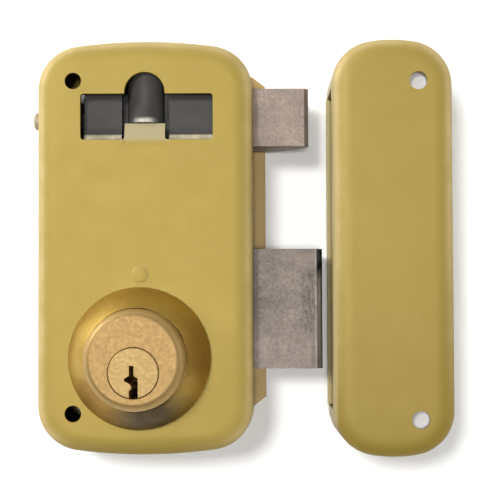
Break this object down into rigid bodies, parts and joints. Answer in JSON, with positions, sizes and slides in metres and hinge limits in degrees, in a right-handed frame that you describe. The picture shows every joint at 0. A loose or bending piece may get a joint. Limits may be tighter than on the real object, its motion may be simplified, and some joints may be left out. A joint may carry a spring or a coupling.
{
  "type": "rim night latch with keeper",
  "caption": "Surface-mounted door lock with a sprung latch, a thumb slide, a key-driven dead bolt and a separate box keeper, all in gold-painted pressed covers.",
  "frame": {"origin": "middle of the lock's flat back, which lies on the door", "axes": "+X from the lock to the keeper, +Y up the door, +Z out of the door into the room"},
  "size_m": [0.1235, 0.1214, 0.0461],
  "materials": {
    "gold_paint": "satin gold metallic paint",
    "steel": "dull nickel-plated steel",
    "grey_plastic": "dark grey moulded plastic",
    "brass": "polished brass",
    "zinc": "pale zinc-plated steel",
    "white_plastic": "white moulded sleeve"
  },
  "bodies": {
    "lock_case": {"case_cover": "gold_paint", "base_plate": "gold_paint", "bolt_guide_post": "gold_paint", "keeper_cover": "gold_paint", "keeper_plate": "gold_paint", "bolt_guide_plate": "steel", "guide_plate_rivet_1": "steel", "guide_plate_rivet_2": "steel", "guide_plate_rivet_3": "steel", "latch_spring": "steel", "lever_post": "steel", "lever_clip": "steel", "transfer_post": "steel", "transfer_clip": "steel", "driver_pin_1": "steel", "driver_pin_2": "steel", "driver_pin_3": "steel", "driver_pin_4": "steel", "pin_spring_1": "steel", "pin_spring_2": "steel", "pin_spring_3": "steel", "pin_spring_4": "steel", "cylinder_rosette": "brass", "cylinder_body": "brass", "cylinder_nut": "brass", "pin_cap_1": "brass", "pin_cap_2": "brass", "pin_cap_3": "brass", "pin_cap_4": "brass", "cover_screw_1": "zinc", "cover_screw_2": "zinc", "cover_screw_3": "zinc", "cover_screw_4": "zinc", "spring_washer": "zinc", "keeper_screw_1": "zinc", "keeper_screw_2": "zinc", "keeper_spacer_1": "white_plastic", "keeper_spacer_2": "white_plastic"},
    "latch": {"latch_bolt": "steel", "thumb_slide": "grey_plastic", "slide_screw_1": "zinc", "slide_screw_2": "zinc", "latch_guide_rod": "steel"},
    "latch_lever": {"latch_lever": "steel"},
    "dead_bolt": {"dead_bolt": "steel"},
    "key_plug": {"cylinder_plug": "brass", "key_pin_1": "brass", "key_pin_2": "brass", "key_pin_3": "brass", "key_pin_4": "brass", "plug_clip": "steel", "drive_gear": "steel", "gear_pin": "steel"},
    "transfer": {"transfer_gear": "steel"}
  },
  "joints": [
    {"name": "latch_slide", "type": "slide", "parent": "lock_case", "child": "latch", "axis": [1, 0, 0], "range_m": [-0.011, 0], "stiffness_N_per_m": 400, "springref_m": 0.015, "deforming": ["latch_spring"]},
    {"name": "lever_swing", "type": "hinge", "parent": "lock_case", "child": "latch_lever", "pos_m": [-0.0246, -0.038, 0.0152], "axis": [0, 0, 1], "range_deg": [0, 7.7]},
    {"name": "bolt_slide", "type": "slide", "parent": "lock_case", "child": "dead_bolt", "axis": [1, 0, 0], "range_m": [-0.0157, 0]},
    {"name": "plug_turn", "type": "hinge", "parent": "lock_case", "child": "key_plug", "pos_m": [-0.0015, -0.0356, 0.025], "axis": [0, 0, 1], "range_deg": [-360, 0]},
    {"name": "transfer_turn", "type": "hinge", "parent": "lock_case", "child": "transfer", "pos_m": [-0.00663, -0.0215, 0.01], "axis": [0, 0, 1], "range_deg": [0, 180]}
  ],
  "couplings": [
    {"joint": "lever_swing", "follows": "latch_slide", "rad_per_m": -12.109},
    {"joint": "plug_turn", "follows": "bolt_slide", "rad_per_m": 400},
    {"joint": "transfer_turn", "follows": "bolt_slide", "rad_per_m": -200}
  ]
}
